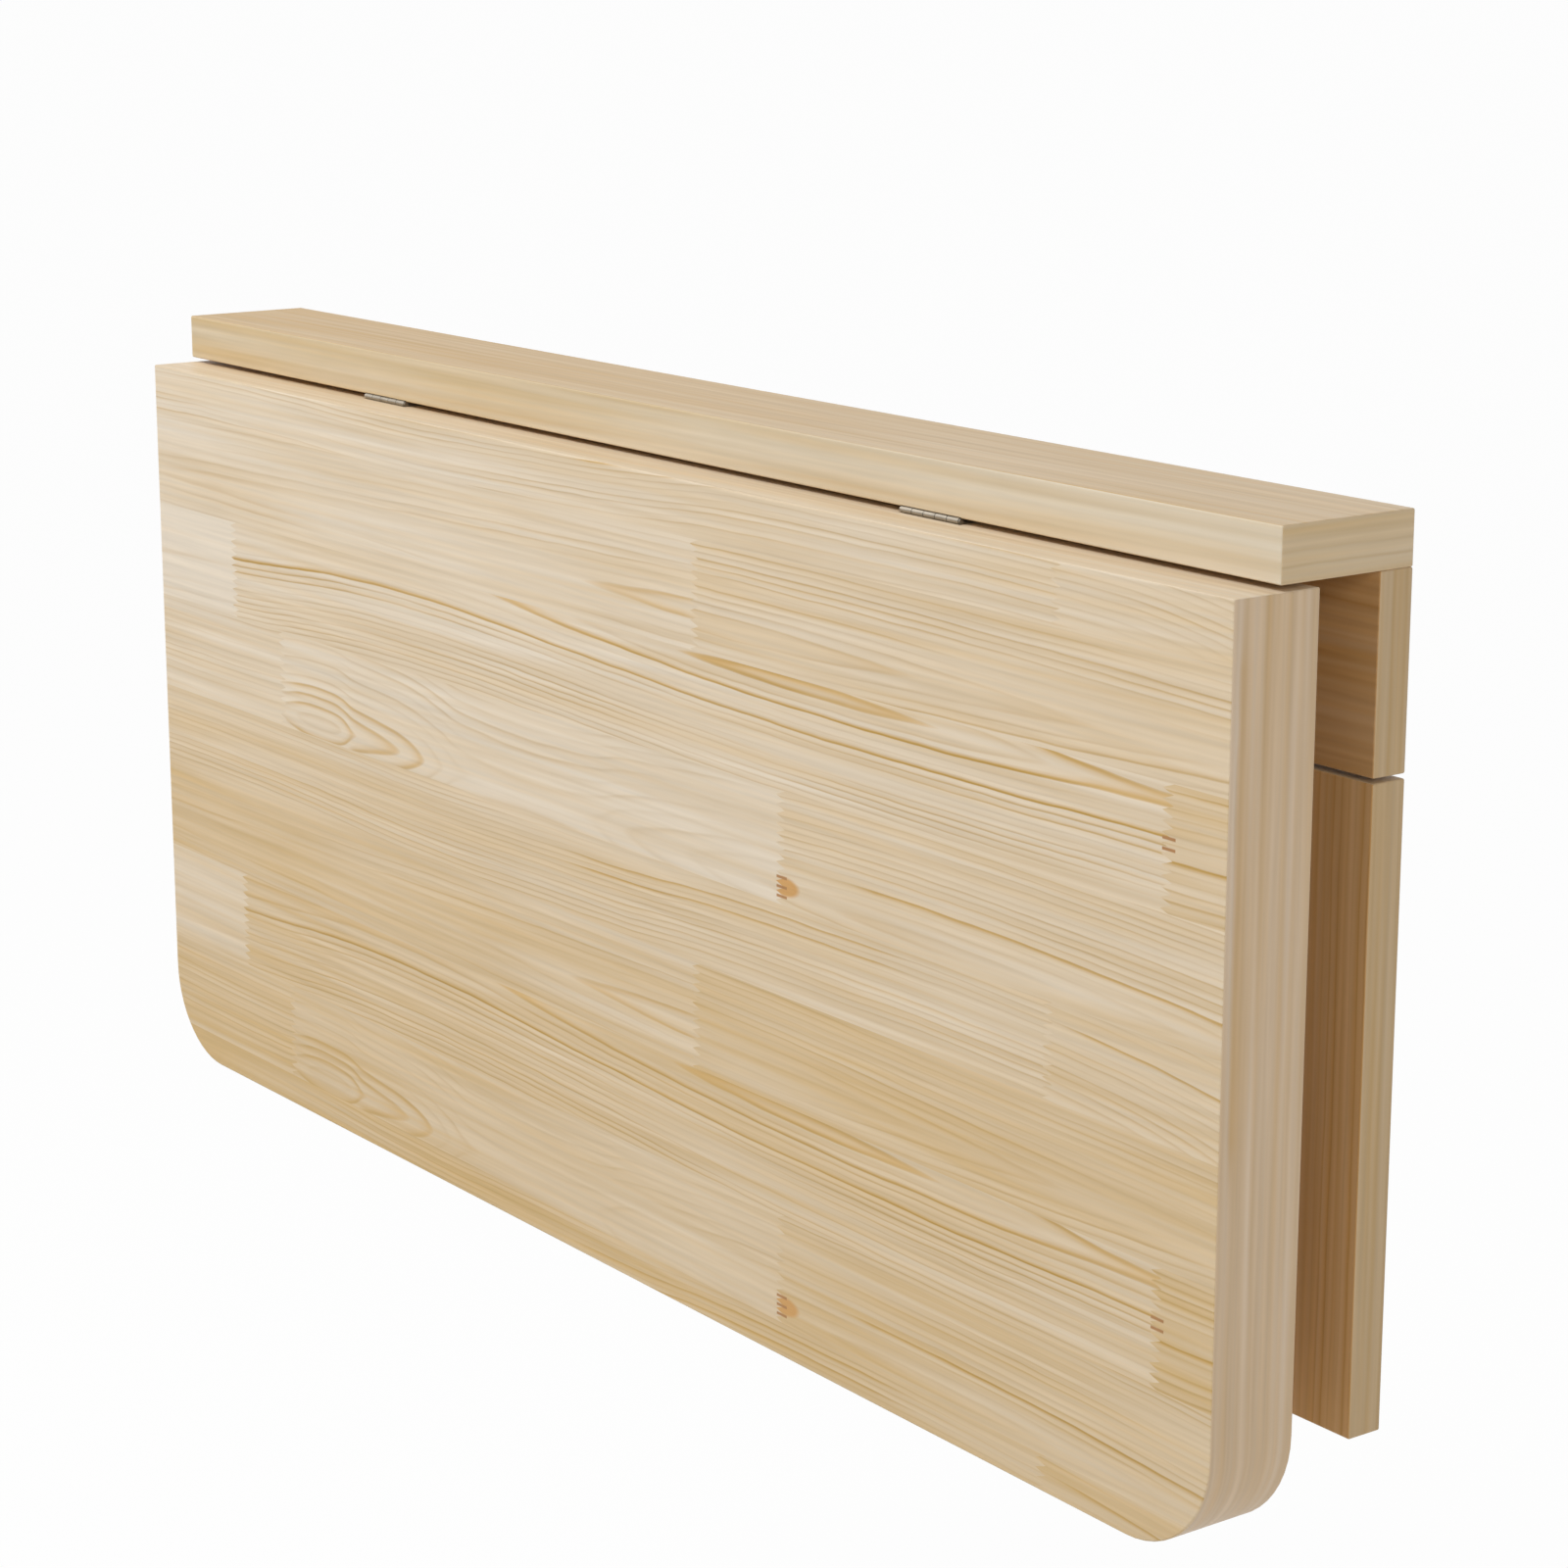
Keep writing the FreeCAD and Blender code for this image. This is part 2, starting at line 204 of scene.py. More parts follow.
# The values of the noise between which the fittings' finishes turn from dark to light and smooth to rough
FINISH_LOW = 0.3
FINISH_HIGH = 0.7
PLATING_SHADES = (0.86, 1.04)
RUBBER_SHADES = (0.8, 1.5)
BEECH_SHADES = (0.8, 1.06)
NICKEL_ROUGHNESS = (0.33, 0.5)
ZINC_ROUGHNESS = (0.29, 0.46)
RUBBER_ROUGHNESS = (0.7, 0.88)
BEECH_ROUGHNESS = (0.6, 0.75)

# The lamps' places and the size of their discs, in metres
KEY_PLACE = (-0.75, -1.55, 1.95)
SIDE_PLACE = (-2.0, -1.2, 1.0)
FILL_PLACE = (1.85, -0.8, 0.6)
LAMP_SIZE = 1.0
# Half the side of the square floor, in metres
FLOOR_HALF = 60.0
# How much of the floor is plain white to the eye: the rest keeps a faint shadow
FLOOR_GLOW = 0.97
FLOOR_ROUGHNESS = 0.9
# The camera's sensor, in millimetres
SENSOR_WIDTH = 36.0


class Figure:
    """The figure of one stave or of one side of a board, in millimetres and years.

    The pith has a place across the stave and a depth behind the face. Rings start part way through a year, and
    strong ones have their years and their reach along the board. Warmth is the tone of the early wood, lines
    the strength of the dark lines, and wander how far the grain strays.
    """

    def __init__(self, pith, ring_width, warmth, lines, wander, depth=0, start=0.0, strong=(), reach=(0, 0)):
        years = strong + (NO_RING,) * (STRONG_RINGS - len(strong))
        self.line = (pith, depth, ring_width, start) + years + reach + (warmth, lines, wander)


class Row:
    """A row of staves in the leaf, in millimetres.

    The joints are places along the leaf. Depth and flow are points along it: the pith's depth behind the row
    and the bend of its grain. A knot at the second joint has a place below the row's top, the size of its flame
    and the reach of its prongs.
    """

    def __init__(self, height, joints, staves, depth, flow=STRAIGHT, knot=NO_KNOT):
        self.height = height
        self.joints = joints + (PAST_END,) * (STAVES_IN_ROW - 1 - len(joints))
        self.staves = staves + staves[-1:] * (STAVES_IN_ROW - len(staves))
        self.depth = depth
        self.flow = flow
        self.knot = knot


leaf_rows = (
    Row(46.5, joints=(81.0,),
        staves=(Figure(29, 2.8, warmth=0.42, lines=0.8, wander=3, start=0.67, strong=(4,), reach=(-70, 110)),
                Figure(33, 2.6, warmth=0.64, lines=1.2, wander=3, start=0.35)),
        depth=((-400, 20), (-150, 15.5), (-15, 12), (40, 10.6), (77, 9.8), (150, 10), (225, 12), (400, 17))),
    Row(47.5, joints=(-318.0, 372.0), knot=(21.0, 0.1, 4.0),
        staves=(Figure(10, 5.0, warmth=0.05, lines=0.4, wander=4),
                Figure(2, 2.5, warmth=0.46, lines=1.35, wander=1, start=0.85, strong=(4, 6, 9),
                       reach=(-360, 410)),
                Figure(50, 3.0, warmth=0.86, lines=1.4, wander=2, start=0.9, strong=(11,), reach=(300, 450))),
        depth=((-400, 15), (-320, 16), (-175, 17), (-75, 15.1), (0, 12.3), (100, 9.5), (150, 9), (250, 10.5),
               (365, 14.5), (400, 14)),
        flow=((-400, 6), (-320, 4.4), (-175, -2), (0, -1.5), (100, 0), (250, 2), (365, 4), (400, 4))),
    Row(47.5, joints=(-272.0, 141.0), knot=(39.5, 4.6, 6.0),
        staves=(Figure(52, 2.8, warmth=0.54, lines=1.1, wander=2, start=0.83),
                Figure(40, 4.2, warmth=0.37, lines=0.85, wander=1, start=0.44, strong=(2, 3, 4),
                       reach=(-300, -90)),
                Figure(42, 2.5, warmth=0.6, lines=1.2, wander=2, start=0.83, strong=(8,), reach=(160, 450))),
        depth=((-400, 10), (-290, 10), (-237, 4.4), (-206, 10.5), (-165, 14.7), (-142, 18.9), (-125, 23.1),
               (-102, 27.3), (-50, 29), (-5, 27.3), (25, 23.1), (70, 18.9), (137, 14), (250, 12), (400, 16))),
    Row(38.5, joints=(309.0,),
        staves=(Figure(60, 2.5, warmth=0.72, lines=1.0, wander=3, start=0.17, strong=(18, 20),
                       reach=(-40, 240)),
                Figure(45, 2.6, warmth=0.77, lines=1.1, wander=3, strong=(13,), reach=(290, 450))),
        depth=((-400, 8), (-280, 5), (-150, 10), (0, 9), (150, 14), (300, 10), (400, 16)),
        flow=((-400, 0), (-10, 0), (150, -9), (300, -6), (400, -3))),
)

# A board's last figures are those of its edges: the top edge's and the ends'
EDGES = 2
leaf_figures = sum((row.staves for row in leaf_rows), ()) + (
    Figure(-8, 11.0, warmth=0.45, lines=0.4, wander=9, depth=12),
    Figure(-8, 11.0, warmth=0.62, lines=0.5, wander=6, depth=12, strong=(6,), reach=(200, 450)))
shelf_figures = (
    Figure(60, 7.0, warmth=0.56, lines=0.5, wander=8, depth=40),
    # The top edge's figure is warmer than the front's, partly painted shade on the top
    Figure(40, 8.0, warmth=0.9, lines=0.5, wander=10, depth=40),
    Figure(90, 5.0, warmth=0.75, lines=0.5, wander=5, depth=10))
back_edge_figures = (
    Figure(60, 6.0, warmth=0.6, lines=0.6, wander=6, depth=10),
    Figure(60, 6.0, warmth=0.7, lines=0.6, wander=6, depth=10))
rail_figures = (
    Figure(-20, 6.0, warmth=0.9, lines=1.2, wander=10, depth=10, strong=(4,), reach=(-400, 400)),
    *back_edge_figures)
panel_figures = (
    Figure(10, 4.0, warmth=0.8, lines=1.0, wander=5, depth=12),
    Figure(60, 3.4, warmth=0.7, lines=0.9, wander=4, depth=6),
    Figure(25, 5.0, warmth=0.6, lines=0.9, wander=8, depth=10),
    Figure(-15, 3.6, warmth=0.9, lines=0.9, wander=4, depth=8),
    Figure(38, 4.4, warmth=0.7, lines=1.0, wander=6, depth=20),
    *back_edge_figures)


class Cut:
    """How one board was cut.

    Each side has two letters, the axes along the grain and across it, where p runs round the rim. A wrapped
    board's ends go on round its lower corners. Drift is how much paler it gets from left to right: partly the
    board's own tone and partly painted sheen towards the right. Each tint belongs to the front, the top edge
    or the ends; some of them are painted shade.
    """

    def __init__(self, seed, front, top, end, figures, tints_and_shade, rows=None, upright_stave=None, drift_and_sheen=0.0,
                 wrapped=False):
        self.seed = seed
        self.faces = (front, top, end)
        self.figures = figures
        self.staves = len(figures) - EDGES
        self.tints_and_shade = tints_and_shade
        self.rows = rows
        self.upright_stave = upright_stave
        self.drift_and_sheen = drift_and_sheen
        self.wrapped = wrapped


def linear(hex_colour):
    """An sRGB hex colour as linear red, green, blue and alpha."""
    parts = [int(hex_colour[i:i + 2], 16) / 255 for i in (1, 3, 5)]
    return tuple(p / 12.92 if p <= 0.04045 else ((p + 0.055) / 1.055) ** 2.4 for p in parts) + (1.0,)


def colour_setting(name, description, hex_colour):
    """A colour that the user can change, which starts as an sRGB hex value."""
    return bpy.props.FloatVectorProperty(
        name=name, description=description, subtype="COLOR", size=4, min=0, max=1, default=linear(hex_colour))


def length_setting(name, description, length):
    """A length that the user can change, in metres."""
    return bpy.props.FloatProperty(
        name=name, description=description, subtype="DISTANCE", unit="LENGTH", default=length)


def add(tree, kind, links=None, **settings):
    """Adds one node with its settings, and links or sets its inputs by name or by place."""
    node = tree.nodes.new(kind)
    for key, value in settings.items():
        setattr(node, key, value)
    for key, value in (links or {}).items():
        if isinstance(key, int):
            socket = node.inputs[key]
        else:
            socket = next(s for s in node.inputs if s.name == key and s.enabled)
        if isinstance(value, bpy.types.Node):
            value = next(s for s in value.outputs if s.enabled)
        if isinstance(value, bpy.types.NodeSocket):
            tree.links.new(value, socket)
        else:
            socket.default_value = value
    return node


def set_stops(ramp, stops, interpolation="LINEAR"):
    """Gives a colour ramp its stops, each a place and a colour."""
    elements = ramp.color_ramp.elements
    ramp.color_ramp.interpolation = interpolation
    while len(elements) > 1:
        elements.remove(elements[-1])
    elements[0].position, elements[0].color = stops[0]
    for position, colour in stops[1:]:
        elements.new(position).color = colour


def new_material(name):
    """An empty material and its node tree."""
    material = bpy.data.materials.new(name)
    material.use_nodes = True
    material.node_tree.nodes.clear()
    return material, material.node_tree


def dress(nodes, material):
    """Puts a material on CAD nodes through their material slots."""
    for name in nodes:
        for material_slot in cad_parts[name].material_slots:
            material_slot.material = material


class PineSettings(bpy.types.PropertyGroup):
    """Clear lacquered, finger-jointed pine."""
    pale: colour_setting("Pale wood", "Early wood of the palest staves", "#ECDECA")
    golden: colour_setting("Golden wood", "Early wood of the warmest staves", "#DCC197")
    ring: colour_setting("Ring", "Dark line that ends an ordinary year's growth", "#AE8C4C")
    streak: colour_setting("Streak", "Dark line of the strongest growth rings", "#C29A4C")
    amber: colour_setting("Amber", "Resin rich late wood ahead of the dark line", "#E0B878")
    knot: colour_setting("Knot", "Small flame shaped knots beside the finger joints", "#D6A568")
    prong: colour_setting("Prong", "Dark knot wood caught between the fingers of a joint", "#B6875A")
    rim: colour_setting("Rim", "Tint of the leaf's ends and lower edge", "#FCF6F4")
    shelf_front: colour_setting("Shelf front", "Tint of the shelf's front", "#F8FBFB")
    # Painted shade: a tint that darkens the shelf's top against its front
    shelf_top_shade: colour_setting("Shelf top", "Tint of the shelf's top", "#F2ECE2")
    # Painted shade: the rail's and stop blocks' front tint is darker and warmer than their edges, standing in
    # for the shade and warm bounce light behind the leaf
    rail_front_shade: colour_setting(
        "Rail front", "Tint of the rail's front and of the stop blocks' fronts", "#E8CEB2")
    # Painted shade: the panel's front tint is warmer than its edges, standing in for the shade and warm bounce
    # light behind the leaf
    panel_front_shade: colour_setting("Panel front", "Tint of the support panel's front", "#F5DEC4")
    back_edge: colour_setting("Back edge", "Tint of the edges of the rail, panel and stop blocks", "#ECE4D8")
    stave_width: length_setting("Stave width", "Width of one upright stave in the support panel", 45 * MM)
    finger_pitch: length_setting("Finger pitch", "Spacing of the fingers in a joint", 4 * MM)
    finger_length: length_setting("Finger length", "Length of the fingers in a joint", 6 * MM)
    roughness: bpy.props.FloatProperty(
        name="Roughness", description="Roughness of the satin lacquer", subtype="FACTOR", min=0, max=1,
        default=0.42)


class FittingSettings(bpy.types.PropertyGroup):
    """Plated steel fittings, rubber pads and beech dowels."""
    nickel: colour_setting("Nickel", "Nickel plating of the hinges and brackets", "#A0988B")
    zinc: colour_setting("Zinc", "Zinc plating of the screws", "#C3C6C8")
    rubber: colour_setting("Rubber", "Black rubber of the bearing pads", "#2B2A29")
    beech: colour_setting("Beech", "Fluted beech of the dowels", "#C9A27A")


class StudioSettings(bpy.types.PropertyGroup):
    """Camera, light and floor."""
    camera_place: bpy.props.FloatVectorProperty(
        name="Camera place", description="Where the camera stands", subtype="TRANSLATION", size=3,
        default=(1.3271, -0.9541, 0.2717))
    camera_azimuth: bpy.props.FloatProperty(
        name="Camera azimuth", description="Turn of the camera about the vertical", subtype="ANGLE",
        default=math.radians(53.796))
    camera_tilt: bpy.props.FloatProperty(
        name="Camera tilt", description="How far the camera looks down", subtype="ANGLE",
        default=math.radians(13.425))
    camera_lens: bpy.props.FloatProperty(
        name="Lens", description="Focal length on a 36 mm sensor, in millimetres", default=86.49)
    floor_drop: length_setting("Floor drop", "Height of the shelf's top above the floor", 0.75)
    floor_paint: colour_setting("Floor paint", "Pale paint of the floor", "#F2F2F0")
    sky: bpy.props.FloatProperty(
        name="Sky", description="Strength of the even light from all sides", default=0.26)
    key: bpy.props.FloatProperty(
        name="Key", description="Power of the main lamp at the front left", subtype="POWER", default=42.2)
    side: bpy.props.FloatProperty(
        name="Side", description="Power of the weak lamp at the far left", subtype="POWER", default=3.5)
    fill: bpy.props.FloatProperty(
        name="Fill", description="Power of the lamp at the right", subtype="POWER", default=10.1)


def lookup(tree, index, table):
    """The values in one line of a table, read by its number through ramps of three values each."""
    count = len(table)
    place = add(tree, MATH, {0: index, 1: 1 / count, 2: MIDDLE / count}, operation="MULTIPLY_ADD")
    values = []
    for first in range(0, len(table[0]), RAMP_VALUES):
        ramp = add(tree, RAMP, {0: place})
        stops = []
        for i, line in enumerate(table):
            three = tuple(value / TABLE_SCALE + MIDDLE for value in line[first:first + RAMP_VALUES])
            stops.append((i / count, three + (1.0,)))
        set_stops(ramp, stops, "CONSTANT")
        centred = add(tree, VECTOR, {0: ramp, 1: (MIDDLE,) * RAMP_VALUES}, operation="SUBTRACT")
        scaled = add(tree, VECTOR, {0: centred, "Scale": TABLE_SCALE}, operation="SCALE")
        values += add(tree, SEPARATE, {0: scaled}).outputs
    return values


def drawn_line(tree, place, points, low, high):
    """A smooth line through a few points along the table's width, from millimetres to millimetres."""
    node = add(tree, CURVE, {"Value": place})
    line = node.mapping.curves[0]
    shares = [(x / table_width_mm + MIDDLE, (value - low) / (high - low)) for x, value in points]
    line.points[0].location = shares[0]
    line.points[1].location = shares[-1]
    for share in shares[1:-1]:
        line.points.new(*share)
    node.mapping.update()
    return add(tree, RANGE, {"Value": node, 3: low, 4: high})


def wood_noise(tree, point, blotches):
    """Noise whose blotches have real sizes along the grain and across it, and change from stave to stave."""
    stretched = add(tree, VECTOR, {0: point, 1: blotches.shares}, operation="MULTIPLY")
    return add(tree, NOISE, {"Vector": stretched, "Scale": 1.0, "Detail": blotches.detail})


class Surface:
    """Where a point lies on a board, in millimetres: along the grain, across it, and on which stave."""

    def __init__(self, tree, cut, pine):
        place = add(tree, COORDINATES)
        self.depth = None
        self.flow = None
        self.tone = 0.0
        self.knot = None
        self.prong = None
        self.find_side(tree, cut, place.outputs["Normal"])
        self.follow_grain(tree, cut, place.outputs["Object"])
        edge = add(tree, MIX, {"Factor": self.on_end, "A": cut.staves, "B": cut.staves + 1})
        index = 0.0
        number = 0.0
        across = self.across
        if cut.rows is not None:
            index, number, across = self.lay_rows(tree, cut, pine)
        elif cut.upright_stave is not None:
            index, number, across = self.lay_upright(tree, cut)
        self.figure = add(tree, MIX, {"Factor": self.rim, "A": index, "B": edge})
        self.across = add(tree, MIX, {"Factor": self.rim, "A": across, "B": self.across})
        seed = add(tree, MATH, {0: self.hidden, 1: BACK_SEED, 2: cut.seed}, operation="MULTIPLY_ADD")
        seed = add(tree, MATH, {0: edge, 1: self.rim, 2: seed}, operation="MULTIPLY_ADD")
        number = add(tree, MATH, {0: number, 1: self.flat}, operation="MULTIPLY")
        self.seed = add(tree, MATH, {0: number, 1: seed}, operation="ADD")

    def find_side(self, tree, cut, normal):
        """Which side of the board the point is on: its flat faces, its top edge or its ends."""
        turned_x, turned_y, turned_z = add(tree, SEPARATE, {0: normal}).outputs
        sideways = add(tree, MATH, {0: turned_x}, operation="ABSOLUTE")
        if cut.wrapped:
            # The ends' grain runs on round the lower corners and along the lower edge
            upright = turned_z
            downward = add(tree, MATH, {0: turned_z, 1: -1.0}, operation="MULTIPLY")
            sideways = add(tree, MATH, {0: sideways, 1: downward}, operation="MAXIMUM")
        else:
            upright = add(tree, MATH, {0: turned_z}, operation="ABSOLUTE")
        self.on_top = add(tree, MATH, {0: upright, 1: HALF_TURNED}, operation="GREATER_THAN")
        self.on_end = add(tree, MATH, {0: sideways, 1: HALF_TURNED}, operation="GREATER_THAN")
        self.hidden = add(tree, MATH, {0: turned_y, 1: HALF_TURNED}, operation="GREATER_THAN")
        self.rim = add(tree, MATH, {0: self.on_top, 1: self.on_end}, operation="MAXIMUM")
        self.flat = add(tree, MATH, {0: 1.0, 1: self.rim}, operation="SUBTRACT")

    def follow_grain(self, tree, cut, place):
        """How far along the grain and across it the point lies, on its own side of the board."""
        scaled = add(tree, VECTOR, {0: place, "Scale": TO_MM}, operation="SCALE")
        x, y, z = add(tree, SEPARATE, {0: scaled}).outputs
        axes = {"x": x, "y": y, "z": z}
        if cut.wrapped:
            axes["p"] = add(tree, MATH, {0: x, 1: z}, operation="ADD")
        chosen = []
        for way in (0, 1):
            front, top, end = (axes[face[way]] for face in cut.faces)
            level = add(tree, MIX, {"Factor": self.on_top, "A": front, "B": top})
            chosen.append(add(tree, MIX, {"Factor": self.on_end, "A": level, "B": end}))
        self.along, self.across = chosen

    def lay_upright(self, tree, cut):
        """Upright staves side by side, each with its own seed, taking the figures in turn."""
        share = add(tree, MATH, {0: self.across, 1: cut.upright_stave}, operation="DIVIDE")
        number = add(tree, MATH, {0: share}, operation="FLOOR")
        within = add(tree, MATH, {0: share}, operation="FRACT")
        across = add(tree, MATH, {0: within, 1: cut.upright_stave}, operation="MULTIPLY")
        index = add(tree, MATH, {0: number, 1: cut.staves, 2: 0.0}, operation="WRAP")
        return index, number, across

    def lay_rows(self, tree, cut, pine):
        """The leaf's rows of staves, which come in sets down the leaf, with finger joints along each row."""
        heights = [row.height for row in cut.rows]
        tops = [sum(heights[:i]) for i in range(len(heights))]
        fall = add(tree, MATH, {0: leaf_top_mm - FIRST_ROW, 1: self.across}, operation="SUBTRACT")
        lot = add(tree, MATH, {0: fall, 1: sum(heights)}, operation="DIVIDE")
        lot = add(tree, MATH, {0: lot}, operation="FLOOR")
        fall = add(tree, MATH, {0: fall, 1: sum(heights), 2: 0.0}, operation="WRAP")
        steps = [add(tree, MATH, {0: fall, 1: top}, operation="GREATER_THAN") for top in tops[1:]]
        row = steps[0]
        for step in steps[1:]:
            row = add(tree, MATH, {0: row, 1: step}, operation="ADD")
        first, second, row_top, *knot = lookup(tree, row, [
            line.joints + (top,) + line.knot for line, top in zip(cut.rows, tops)])
        across = add(tree, MATH, {0: fall, 1: row_top}, operation="SUBTRACT")
        # Fingers: a zigzag along each joint
        half_pitch = pine.finger_pitch * TO_MM / 2
        tooth = add(tree, MATH, {0: across, 1: half_pitch}, operation="PINGPONG")
        slant = pine.finger_length * TO_MM / half_pitch
        jagged = add(tree, MATH, {0: tooth, 1: slant, 2: self.along}, operation="MULTIPLY_ADD")
        past_first = add(tree, MATH, {0: jagged, 1: first}, operation="GREATER_THAN")
        past_second = add(tree, MATH, {0: jagged, 1: second}, operation="GREATER_THAN")
        part = add(tree, MATH, {0: past_first, 1: past_second}, operation="ADD")
        index = add(tree, MATH, {0: row, 1: STAVES_IN_ROW, 2: part}, operation="MULTIPLY_ADD")
        staves_in_set = STAVES_IN_ROW * len(cut.rows)
        number = add(tree, MATH, {0: lot, 1: staves_in_set, 2: index}, operation="MULTIPLY_ADD")
        self.place_knots(tree, knot, across, tooth, second, past_second)
        self.tone_sets_with_painted_light(tree, lot)
        self.run_pith(tree, cut, steps)
        return index, number, across

    def place_knots(self, tree, knot, across, tooth, joint, past_joint):
        """Small knots that a row's second joint cuts through: a flame beyond it and dark prongs before it."""
        knot_at, flame_size, prong_reach = knot
        beyond = add(tree, MATH, {0: self.along, 1: joint}, operation="SUBTRACT")
        height = add(tree, MATH, {0: across, 1: knot_at}, operation="SUBTRACT")
        spread = add(tree, COMBINE, {0: beyond, 1: height})
        spread = add(tree, VECTOR, {0: spread, 1: FLAME_SHAPE}, operation="MULTIPLY")
        spread = add(tree, VECTOR, {0: spread}, operation="LENGTH").outputs["Value"]
        spread = add(tree, MATH, {0: spread, 1: flame_size}, operation="DIVIDE")
        flame = add(tree, RANGE, {"Value": spread, 1: 1.0, 2: FLAME_CORE})
        flame = add(tree, MATH, {0: flame, 1: past_joint}, operation="MULTIPLY")
        self.knot = add(tree, MATH, {0: flame, 1: self.flat}, operation="MULTIPLY")
        before = add(tree, MATH, {0: beyond, 1: -PRONG_SET_BACK, 2: PRONG_LENGTH / 2}, operation="COMPARE")
        level = add(tree, MATH, {0: height, 1: 0.0, 2: prong_reach}, operation="COMPARE")
        prong = add(tree, RANGE, {"Value": tooth, 1: PRONG_WIDTH, 2: PRONG_WIDTH / 2})
        for share in (before, level, self.flat):
            prong = add(tree, MATH, {0: prong, 1: share}, operation="MULTIPLY")
        self.prong = prong

    def tone_sets_with_painted_light(self, tree, lot):
        """Each set down the leaf is a little warmer than the one above, most at the left: partly the staves'
        own tone, partly painted sheen on the paler upper set and painted shade on the warmer lower ones.
        """
        lower = add(tree, MATH, {0: lot, 1: PART_SET}, operation="MAXIMUM")
        fall = -SET_WARMTH_AND_SHADE_FALL / table_width_mm
        warmer = add(tree, MATH, {0: self.along, 1: fall, 2: SET_WARMTH_AND_SHADE}, operation="MULTIPLY_ADD")
        tone = add(tree, MATH, {0: lower, 1: warmer, 2: FIRST_SET_TONE_AND_SHEEN}, operation="MULTIPLY_ADD")
        self.tone = add(tree, MATH, {0: tone, 1: self.flat}, operation="MULTIPLY")

    def run_pith(self, tree, cut, steps):
        """How deep the pith runs behind each row, and how the row's grain bends."""
        place = add(tree, MATH, {0: self.along, 1: 1 / table_width_mm, 2: MIDDLE}, operation="MULTIPLY_ADD")
        depth = drawn_line(tree, place, cut.rows[0].depth, 0.0, DEEPEST)
        flow = drawn_line(tree, place, cut.rows[0].flow, -MOST_FLOW, MOST_FLOW)
        for step, row in zip(steps, cut.rows[1:]):
            deeper = drawn_line(tree, place, row.depth, 0.0, DEEPEST)
            bent = drawn_line(tree, place, row.flow, -MOST_FLOW, MOST_FLOW)
            depth = add(tree, MIX, {"Factor": step, "A": depth, "B": deeper})
            flow = add(tree, MIX, {"Factor": step, "A": flow, "B": bent})
        self.depth = add(tree, MATH, {0: depth, 1: self.flat}, operation="MULTIPLY")
        self.flow = add(tree, MATH, {0: flow, 1: self.flat}, operation="MULTIPLY")


